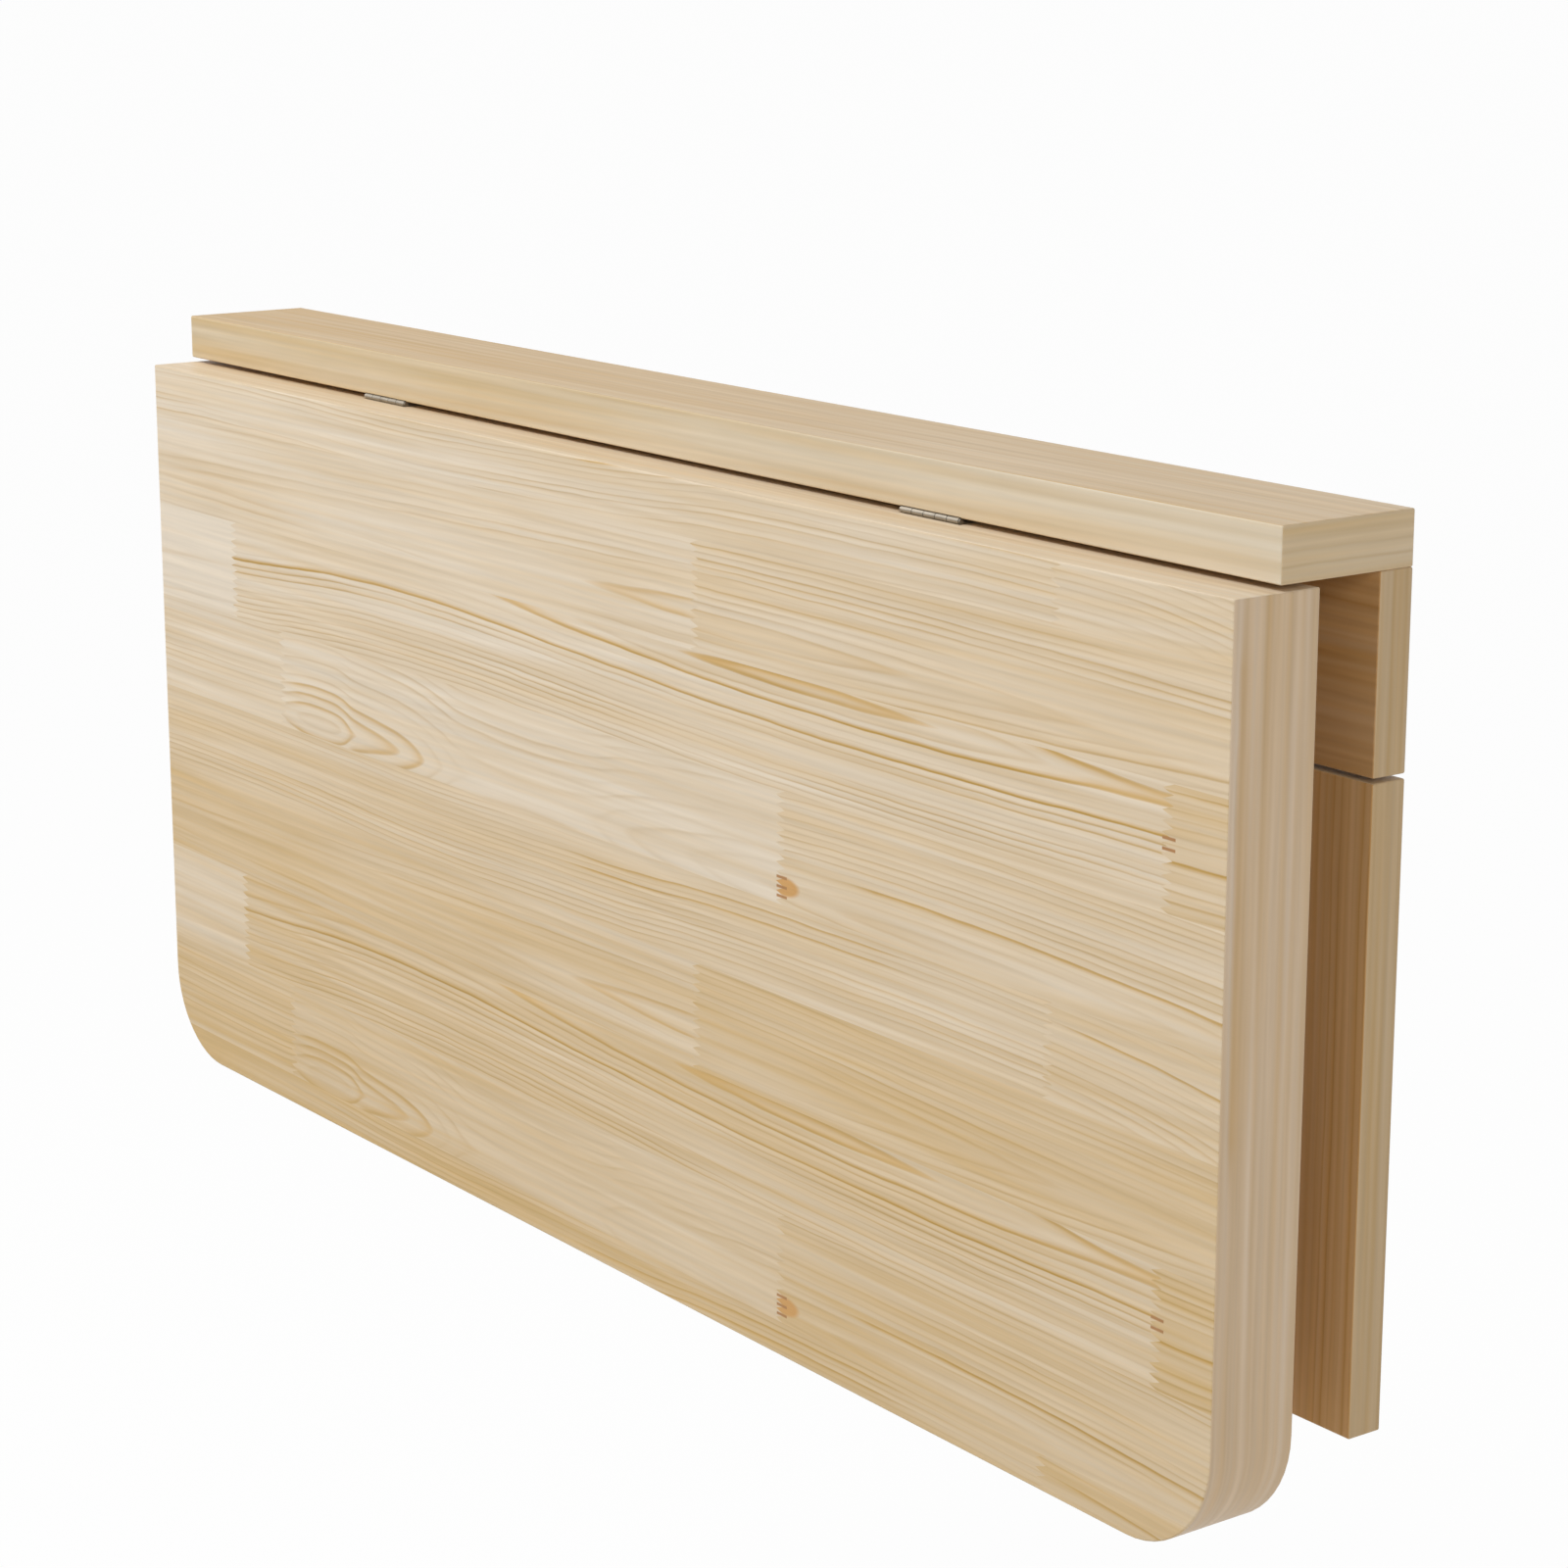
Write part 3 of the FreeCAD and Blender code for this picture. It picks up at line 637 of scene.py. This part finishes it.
class Grain:
    """Growth rings about a wandering pith, cut by a board's face."""

    def __init__(self, tree, surface, cut):
        self.point = add(tree, COMBINE, {0: surface.along, 1: surface.across, 2: surface.seed})
        (self.pith, self.depth, self.ring_width, self.start, *self.strong_years, self.strong_from,
         self.strong_to, self.warmth, self.lines, self.wander) = lookup(
            tree, surface.figure, [figure.line for figure in cut.figures])
        self.grow_rings(tree, *self.measure_radius(tree, surface))
        self.strengthen(tree, surface)
        self.mark_late_wood(tree)

    def measure_radius(self, tree, surface):
        """The distance from the pith at every point of the face, and its part across the face."""
        bend = wood_noise(tree, self.point, BEND)
        bend = add(tree, MATH, {0: bend, 1: MIDDLE}, operation="SUBTRACT")
        bend = add(tree, MATH, {0: bend, 1: self.wander}, operation="MULTIPLY")
        ripple = wood_noise(tree, self.point, RIPPLE)
        ripple = add(tree, RANGE, {"Value": ripple, 3: -RIPPLE_HEIGHT, 4: RIPPLE_HEIGHT}, clamp=False)
        sway = wood_noise(tree, self.point, SWAY)
        sway = add(tree, MATH, {0: sway, 1: MIDDLE}, operation="SUBTRACT")
        depth = add(tree, MATH, {0: sway, 1: self.wander, 2: self.depth}, operation="MULTIPLY_ADD")
        offset = add(tree, MATH, {0: surface.across, 1: self.pith}, operation="SUBTRACT")
        offset = add(tree, MATH, {0: offset, 1: bend}, operation="ADD")
        offset = add(tree, MATH, {0: offset, 1: ripple}, operation="ADD")
        if surface.depth is not None:
            depth = add(tree, MATH, {0: depth, 1: surface.depth}, operation="ADD")
            offset = add(tree, MATH, {0: offset, 1: surface.flow}, operation="SUBTRACT")
        # Loops come to a soft point along the grain, as they do where a trunk tapers
        powers = []
        for side in (offset, depth):
            side = add(tree, MATH, {0: side}, operation="ABSOLUTE")
            powers.append(add(tree, MATH, {0: side, 1: LOOP_POINT}, operation="POWER"))
        radius = add(tree, MATH, {0: powers[0], 1: powers[1]}, operation="ADD")
        radius = add(tree, MATH, {0: radius, 1: 1 / LOOP_POINT}, operation="POWER")
        return radius, offset

    def grow_rings(self, tree, radius, offset):
        """The year that a point grew in, and how dark and how amber it is: a slow turn, then a sharp edge."""
        rings = add(tree, MATH, {0: radius, 1: self.ring_width}, operation="DIVIDE")
        rings = add(tree, MATH, {0: rings, 1: self.start}, operation="ADD")
        self.year = add(tree, MATH, {0: rings}, operation="FLOOR")
        season = add(tree, MATH, {0: rings}, operation="FRACT")
        late = add(tree, RAMP, {0: season})
        set_stops(late, [(place, (dark, amber, 0, 1)) for place, dark, amber in SEASON])
        self.dark, self.amber = add(tree, SEPARATE, {0: late}).outputs[:2]
        # Where the face grazes a ring its late wood shows wide and amber, without the dark line
        slope = add(tree, MATH, {0: offset, 1: radius}, operation="DIVIDE")
        slope = add(tree, MATH, {0: slope}, operation="ABSOLUTE")
        self.steep = add(tree, RANGE, {"Value": slope, 1: 0.0, 2: FULL_SLOPE, 3: GRAZED_LINE, 4: 1.0})

    def strengthen(self, tree, surface):
        """Each year's late wood has a strength by chance, apart from the few strong rings of a figure."""
        ring_id = add(tree, COMBINE, {0: self.year, 1: surface.seed})
        chance = add(tree, CHANCE, {"Vector": ring_id}, noise_dimensions="2D")
        strength = add(tree, MATH, {0: chance, 1: CHANCE_STRENGTH, 2: LEAST_STRENGTH},
                       operation="MULTIPLY_ADD")
        strong = 0.0
        for strong_year in self.strong_years:
            same = add(tree, MATH, {0: self.year, 1: strong_year, 2: SAME_YEAR}, operation="COMPARE")
            strong = add(tree, MATH, {0: strong, 1: same}, operation="MAXIMUM")
        for limit, way in ((self.strong_from, 1.0), (self.strong_to, -1.0)):
            inside = add(tree, MATH, {0: surface.along, 1: limit}, operation="SUBTRACT")
            inside = add(tree, MATH, {0: inside, 1: way / STRONG_FADE}, operation="MULTIPLY", use_clamp=True)
            strong = add(tree, MATH, {0: strong, 1: inside}, operation="MULTIPLY")
        self.strong = add(tree, MATH, {0: strong, 1: STRONG_STRENGTH}, operation="MULTIPLY")
        self.strength = add(tree, MATH, {0: strength, 1: self.strong}, operation="MAXIMUM")

    def mark_late_wood(self, tree):
        """The dark lines and the amber ahead of them, which fade in and out along the stave."""
        widen = add(tree, MATH, {0: self.strong, 1: -STRONG_WIDTH, 2: 1.0}, operation="MULTIPLY_ADD")
        dark = add(tree, MATH, {0: self.dark, 1: widen}, operation="POWER")
        dark = add(tree, MATH, {0: dark, 1: self.steep}, operation="MULTIPLY")
        fade = wood_noise(tree, self.point, FADE)
        fade = add(tree, RANGE, {"Value": fade, 1: FADE_LOW, 2: FADE_HIGH, 3: FADED, 4: 1.0})
        fade = add(tree, MATH, {0: fade, 1: self.strong}, operation="MAXIMUM")
        force = add(tree, MATH, {0: self.strength, 1: fade}, operation="MULTIPLY")
        force = add(tree, MATH, {0: force, 1: self.lines}, operation="MULTIPLY")
        self.mark = add(tree, MATH, {0: force, 1: dark}, operation="MULTIPLY", use_clamp=True)
        resin = add(tree, MATH, {0: force, 1: self.strength}, operation="MULTIPLY")
        self.resin = add(tree, MATH, {0: resin, 1: self.amber}, operation="MULTIPLY", use_clamp=True)


def early_wood(tree, surface, grain, cut, pine):
    """Early wood: one tone for each stave, clouded along the grain."""
    cloud = wood_noise(tree, grain.point, CLOUD)
    cloud = add(tree, RANGE, {"Value": cloud, 1: CLOUD_LOW, 2: CLOUD_HIGH, 3: -CLOUD_WARMTH, 4: CLOUD_WARMTH})
    band = wood_noise(tree, grain.point, BAND)
    band = add(tree, RANGE, {"Value": band, 1: STREAK_LOW, 2: STREAK_HIGH, 3: -BAND_WARMTH, 4: BAND_WARMTH})
    # Paler towards the right: partly the board's own tone, partly painted sheen
    drift_and_sheen = -cut.drift_and_sheen / table_width_mm
    tone = add(tree, MATH, {0: surface.along, 1: drift_and_sheen, 2: grain.warmth}, operation="MULTIPLY_ADD")
    # The leaf's sets add their tone here: partly the staves' own, partly painted sheen at the upper left and
    # painted shade towards the lower left
    for warmer in (surface.tone, cloud, band):
        tone = add(tree, MATH, {0: tone, 1: warmer}, operation="ADD")
    tone = add(tree, RANGE, {"Value": tone, 1: 0.0, 2: WARMEST, 3: 0.0, 4: WARMEST})
    return add(tree, MIX, {"Factor": tone, "A": tuple(pine.pale), "B": tuple(pine.golden)}, data_type="RGBA",
               clamp_factor=False)


def pine_colour(tree, surface, grain, cut, pine, fibre):
    """Sawn pine's colour: early wood, amber, dark lines and knots, then streaks and the side's tint, which on
    some boards is painted shade.
    """
    colour = early_wood(tree, surface, grain, cut, pine)
    stain = add(tree, MIX, {"Factor": grain.strength, "A": tuple(pine.ring), "B": tuple(pine.streak)},
                data_type="RGBA")
    layers = [(grain.resin, tuple(pine.amber)), (grain.mark, stain)]
    if surface.knot is not None:
        layers += [(surface.knot, tuple(pine.knot)), (surface.prong, tuple(pine.prong))]
    for share, layer in layers:
        colour = add(tree, MIX, {"Factor": share, "A": colour, "B": layer}, data_type="RGBA")
    silk = wood_noise(tree, grain.point, SILK)
    for streaks, (low, high) in ((fibre, FIBRE_SHADES), (silk, SILK_SHADES)):
        shade = add(tree, RANGE, {"Value": streaks, 1: STREAK_LOW, 2: STREAK_HIGH, 3: low, 4: high})
        colour = add(tree, MIX, {"Factor": 1.0, "A": colour, "B": shade}, data_type="RGBA",
                     blend_type="MULTIPLY")
    # The front, top and end tints: some are painted shade (the shelf's top, the rail's, stop blocks' and
    # panel's fronts); the back keeps the wood as it is
    front, top, end = (tuple(tint) for tint in cut.tints_and_shade)
    tint = front
    for side, side_tint in ((surface.hidden, WHITE), (surface.on_top, top), (surface.on_end, end)):
        tint = add(tree, MIX, {"Factor": side, "A": tint, "B": side_tint}, data_type="RGBA")
    return add(tree, MIX, {"Factor": 1.0, "A": colour, "B": tint}, data_type="RGBA", blend_type="MULTIPLY")


def pine_material(name, cut, pine):
    """Planed pine under a satin clear lacquer: a soft sheen, with the late wood a little glossier."""
    material, tree = new_material(name)
    surface = Surface(tree, cut, pine)
    grain = Grain(tree, surface, cut)
    fibre = wood_noise(tree, grain.point, FIBRE)
    colour = pine_colour(tree, surface, grain, cut, pine, fibre)
    relief = add(tree, MATH, {0: grain.mark, 1: LATE_WOOD_RELIEF, 2: fibre}, operation="MULTIPLY_ADD")
    gloss = add(tree, RANGE, {"Value": grain.mark, 3: pine.roughness, 4: pine.roughness - LATE_WOOD_GLOSS})
    bump = add(tree, BUMP, {"Strength": GRAIN_BUMP, "Distance": GRAIN_RELIEF, "Height": relief})
    shader = add(tree, PRINCIPLED, {"Base Color": colour, "Roughness": gloss, "IOR": LACQUER_IOR,
                                    "Specular IOR Level": LACQUER_SPECULAR, "Normal": bump})
    add(tree, OUTPUT, {"Surface": shader})
    return material


def stretched_place(tree, place, sizes):
    """A piece's coordinates divided by sizes in millimetres, for a pattern that is longer one way."""
    shares = tuple(TO_MM / size for size in sizes)
    return add(tree, VECTOR, {0: place, 1: shares}, operation="MULTIPLY")


def shaded(tree, colour, noise, shades):
    """A colour that a noise pattern darkens and lightens."""
    dark, light = shades
    shade = add(tree, RANGE, {"Value": noise, 1: FINISH_LOW, 2: FINISH_HIGH, 3: dark, 4: light})
    return add(tree, MIX, {"Factor": 1.0, "A": colour, "B": shade}, data_type="RGBA", blend_type="MULTIPLY")


def plated_steel(name, colour, roughness):
    """Pressed steel with a thin bright plating: fine drawn lines and a slightly uneven sheen."""
    material, tree = new_material(name)
    place = add(tree, COORDINATES).outputs["Object"]
    drawn = stretched_place(tree, place, DRAWN_LINE)
    lines = add(tree, NOISE, {"Vector": drawn, "Scale": 1.0, "Detail": 2.0})
    dull = add(tree, NOISE, {"Vector": place, "Scale": TO_MM / DULL_PATCH, "Detail": 2.0})
    plating = shaded(tree, colour, dull, PLATING_SHADES)
    smooth, rough = roughness
    gloss = add(tree, RANGE, {"Value": lines, 1: FINISH_LOW, 2: FINISH_HIGH, 3: smooth, 4: rough})
    bump = add(tree, BUMP, {"Strength": DRAWN_BUMP, "Distance": DRAWN_RELIEF, "Height": lines})
    shader = add(tree, PRINCIPLED, {"Base Color": plating, "Metallic": 1.0, "Roughness": gloss,
                                    "Normal": bump})
    add(tree, OUTPUT, {"Surface": shader})
    return material


def moulded_rubber(colour):
    """Black moulded rubber: matt, faintly grainy, greyed where it is rubbed."""
    material, tree = new_material("moulded_rubber")
    place = add(tree, COORDINATES).outputs["Object"]
    grit = add(tree, NOISE, {"Vector": place, "Scale": TO_MM / RUBBER_GRIT, "Detail": 2.0})
    bloom = add(tree, NOISE, {"Vector": place, "Scale": TO_MM / RUBBER_BLOOM, "Detail": 3.0})
    skin = shaded(tree, colour, bloom, RUBBER_SHADES)
    smooth, rough = RUBBER_ROUGHNESS
    gloss = add(tree, RANGE, {"Value": bloom, 1: FINISH_LOW, 2: FINISH_HIGH, 3: smooth, 4: rough})
    bump = add(tree, BUMP, {"Strength": GRIT_BUMP, "Distance": GRIT_RELIEF, "Height": grit})
    shader = add(tree, PRINCIPLED, {"Base Color": skin, "Roughness": gloss, "Normal": bump})
    add(tree, OUTPUT, {"Surface": shader})
    return material


def turned_beech(colour):
    """Bare beech dowel: short dark flecks along the rod, dry and matt."""
    material, tree = new_material("turned_beech")
    place = add(tree, COORDINATES).outputs["Object"]
    along_rod = stretched_place(tree, place, BEECH_FLECK)
    fleck = add(tree, NOISE, {"Vector": along_rod, "Scale": 1.0, "Detail": 3.0})
    wood = shaded(tree, colour, fleck, BEECH_SHADES)
    smooth, rough = BEECH_ROUGHNESS
    gloss = add(tree, RANGE, {"Value": fleck, 3: smooth, 4: rough})
    shader = add(tree, PRINCIPLED, {"Base Color": wood, "Roughness": gloss})
    add(tree, OUTPUT, {"Surface": shader})
    return material


def shows_backdrop(tree):
    """One for a ray that should meet the plain white backdrop: from the camera, a gloss or a clear piece."""
    ray = add(tree, RAY).outputs
    seen = add(tree, MATH, {0: ray["Is Camera Ray"], 1: ray["Is Glossy Ray"]}, operation="MAXIMUM")
    return add(tree, MATH, {0: seen, 1: ray["Is Transmission Ray"]}, operation="MAXIMUM")


class TABLE_OT_shelf(bpy.types.Operator):
    """Finish the fixed shelf: fine straight grain along its length"""
    bl_idname = "table.shelf"
    bl_label = "Shelf"

    def execute(self, context):
        pine = context.scene.table_pine
        # The shelf top's tint is painted shade
        tints_and_shade = (pine.shelf_front, pine.shelf_top_shade, WHITE)
        # The shelf's paling to the right is partly its own tone, partly painted sheen
        cut = Cut(seed=3.0, front="xz", top="xy", end="yz", figures=shelf_figures, tints_and_shade=tints_and_shade, drift_and_sheen=0.5)
        dress(["shelf_board"], pine_material("pine_shelf", cut, pine))
        return {"FINISHED"}


class TABLE_OT_leaf(bpy.types.Operator):
    """Finish the drop leaf: rows of finger-jointed staves, with long grain round the rim"""
    bl_idname = "table.leaf"
    bl_label = "Drop leaf"

    def execute(self, context):
        pine = context.scene.table_pine
        tints_and_shade = (WHITE, WHITE, pine.rim)
        cut = Cut(seed=400.0, front="xz", top="py", end="py", figures=leaf_figures, tints_and_shade=tints_and_shade,
                  rows=leaf_rows, wrapped=True)
        dress(["drop_leaf"], pine_material("pine_finger_jointed", cut, pine))
        return {"FINISHED"}


class TABLE_OT_rail(bpy.types.Operator):
    """Finish the back rail: one stave of plain pine along the wall"""
    bl_idname = "table.rail"
    bl_label = "Back rail"

    def execute(self, context):
        pine = context.scene.table_pine
        # The rail front's tint is painted shade
        tints_and_shade = (pine.rail_front_shade, pine.back_edge, pine.back_edge)
        cut = Cut(seed=611.0, front="xz", top="xy", end="zy", figures=rail_figures, tints_and_shade=tints_and_shade)
        dress(["back_rail"], pine_material("pine_rail", cut, pine))
        return {"FINISHED"}


class TABLE_OT_panel(bpy.types.Operator):
    """Finish the support panel: upright staves side by side"""
    bl_idname = "table.panel"
    bl_label = "Support panel"

    def execute(self, context):
        pine = context.scene.table_pine
        # The panel front's tint is painted shade
        tints_and_shade = (pine.panel_front_shade, pine.back_edge, pine.back_edge)
        cut = Cut(seed=811.0, front="zx", top="xy", end="zy", figures=panel_figures, tints_and_shade=tints_and_shade,
                  upright_stave=pine.stave_width * TO_MM)
        dress(["support_panel"], pine_material("pine_panel", cut, pine))
        return {"FINISHED"}


class TABLE_OT_stops(bpy.types.Operator):
    """Finish the stop blocks and the rubber pads beside them"""
    bl_idname = "table.stops"
    bl_label = "Stop blocks and pads"

    def execute(self, context):
        pine = context.scene.table_pine
        # The stop blocks' front tint is painted shade
        tints_and_shade = (pine.rail_front_shade, pine.back_edge, pine.back_edge)
        cut = Cut(seed=951.0, front="xz", top="xy", end="zy", figures=rail_figures, tints_and_shade=tints_and_shade)
        dress(["stop_block_left", "stop_block_right"], pine_material("pine_stop_block", cut, pine))
        rubber = moulded_rubber(tuple(context.scene.table_fittings.rubber))
        dress(["stop_pad_left", "stop_pad_right"], rubber)
        return {"FINISHED"}


class TABLE_OT_fittings(bpy.types.Operator):
    """Finish the hinges, brackets, screws and dowels"""
    bl_idname = "table.fittings"
    bl_label = "Fittings"

    def execute(self, context):
        fittings = context.scene.table_fittings
        nickel = plated_steel("nickel_plated_steel", tuple(fittings.nickel), NICKEL_ROUGHNESS)
        zinc = plated_steel("zinc_plated_steel", tuple(fittings.zinc), ZINC_ROUGHNESS)
        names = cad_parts
        screws = [n for n in names if n.endswith("_screws")]
        hinges = [n for n in names if "_hinge_" in n and n not in screws]
        brackets = [n for n in names if n.startswith("shelf_bracket_")]
        dress(hinges + brackets, nickel)
        dress(screws, zinc)
        dress(["shelf_dowels"], turned_beech(tuple(fittings.beech)))
        return {"FINISHED"}


class TABLE_OT_stage(bpy.types.Operator):
    """Set up the floor, the soft light and the camera"""
    bl_idname = "table.stage"
    bl_label = "Studio"

    def execute(self, context):
        studio = context.scene.table_studio
        self.lay_floor(context, studio)
        self.light_sky(context, studio)
        self.hang_lamps(context, studio)
        self.aim_camera(context, studio)
        return {"FINISHED"}

    def lay_floor(self, context, studio):
        """A wide pale floor well below the table, in matt paint that keeps the table's shadow."""
        shape = bmesh.new()
        bmesh.ops.create_grid(shape, x_segments=1, y_segments=1, size=FLOOR_HALF)
        bmesh.ops.translate(shape, verts=shape.verts, vec=(0, 0, shelf_high.z - studio.floor_drop))
        mesh = bpy.data.meshes.new("floor")
        shape.to_mesh(mesh)
        shape.free()
        floor = bpy.data.objects.new("floor", mesh)
        context.scene.collection.objects.link(floor)
        material, tree = new_material("pale_floor_paint")
        share = add(tree, MATH, {0: shows_backdrop(tree), 1: FLOOR_GLOW}, operation="MULTIPLY")
        paint = add(tree, PRINCIPLED, {"Base Color": tuple(studio.floor_paint), "Roughness": FLOOR_ROUGHNESS})
        glow = add(tree, EMISSION, {"Color": WHITE, "Strength": 1.0})
        mixed = add(tree, MIX_SHADER, {0: share, 1: paint, 2: glow})
        add(tree, OUTPUT, {"Surface": mixed})
        mesh.materials.append(material)

    def light_sky(self, context, studio):
        """Even white light all round, in front of a plain white backdrop."""
        world = bpy.data.worlds.new("studio")
        context.scene.world = world
        world.use_nodes = True
        tree = world.node_tree
        tree.nodes.clear()
        strength = add(tree, MIX, {"Factor": shows_backdrop(tree), "A": studio.sky, "B": 1.0})
        sky = add(tree, BACKGROUND, {"Color": WHITE, "Strength": strength})
        add(tree, WORLD_OUTPUT, {"Surface": sky})

    def hang_lamps(self, context, studio):
        """A main soft lamp at the front left and weaker ones at the far left and the right."""
        middle = (Vector(cad_box[0]) + Vector(cad_box[1])) / 2
        lamps = (("key", studio.key, KEY_PLACE), ("side", studio.side, SIDE_PLACE),
                 ("fill", studio.fill, FILL_PLACE))
        for name, power, place in lamps:
            lamp = bpy.data.lights.new(name, "AREA")
            lamp.shape = "DISK"
            lamp.size = LAMP_SIZE
            lamp.energy = power
            holder = bpy.data.objects.new(name, lamp)
            holder.location = place
            holder.rotation_euler = (middle - holder.location).to_track_quat("-Z", "Y").to_euler()
            context.scene.collection.objects.link(holder)

    def aim_camera(self, context, studio):
        """The photograph's viewpoint."""
        view = bpy.data.cameras.new("camera")
        view.sensor_width = SENSOR_WIDTH
        view.lens = studio.camera_lens
        camera = bpy.data.objects.new("camera", view)
        camera.location = studio.camera_place
        camera.rotation_euler = Euler((math.pi / 2 - studio.camera_tilt, 0, studio.camera_azimuth))
        context.scene.collection.objects.link(camera)
        context.scene.camera = camera
        context.scene.view_settings.view_transform = "Standard"


class TABLE_PT_sidebar(bpy.types.Panel):
    """Lists the table's operators and settings"""
    bl_idname = "TABLE_PT_sidebar"
    bl_label = "Drop Leaf Table"
    bl_space_type = "VIEW_3D"
    bl_region_type = "UI"
    bl_category = "Drop Leaf Table"

    def draw(self, context):
        for operator in OPERATORS:
            self.layout.operator(operator.bl_idname)
        for setting in SETTINGS:
            group = getattr(context.scene, setting)
            box = self.layout.box()
            for name in group.bl_rna.properties.keys():
                if name not in ("rna_type", "name"):
                    box.prop(group, name)


SETTINGS = {"table_pine": PineSettings, "table_fittings": FittingSettings, "table_studio": StudioSettings}
OPERATORS = (TABLE_OT_shelf, TABLE_OT_leaf, TABLE_OT_rail, TABLE_OT_panel, TABLE_OT_stops, TABLE_OT_fittings,
             TABLE_OT_stage)


def register():
    for group in SETTINGS.values():
        bpy.utils.register_class(group)
    for name, group in SETTINGS.items():
        setattr(bpy.types.Scene, name, bpy.props.PointerProperty(type=group))
    for cls in OPERATORS + (TABLE_PT_sidebar,):
        bpy.utils.register_class(cls)


def unregister():
    for cls in reversed(OPERATORS + (TABLE_PT_sidebar,)):
        bpy.utils.unregister_class(cls)
    for name in SETTINGS:
        delattr(bpy.types.Scene, name)
    for group in reversed(list(SETTINGS.values())):
        bpy.utils.unregister_class(group)


def main():
    register()
    bpy.ops.table.shelf()
    bpy.ops.table.leaf()
    bpy.ops.table.rail()
    bpy.ops.table.panel()
    bpy.ops.table.stops()
    bpy.ops.table.fittings()
    bpy.ops.table.stage()


if __name__ == "__main__":
    main()
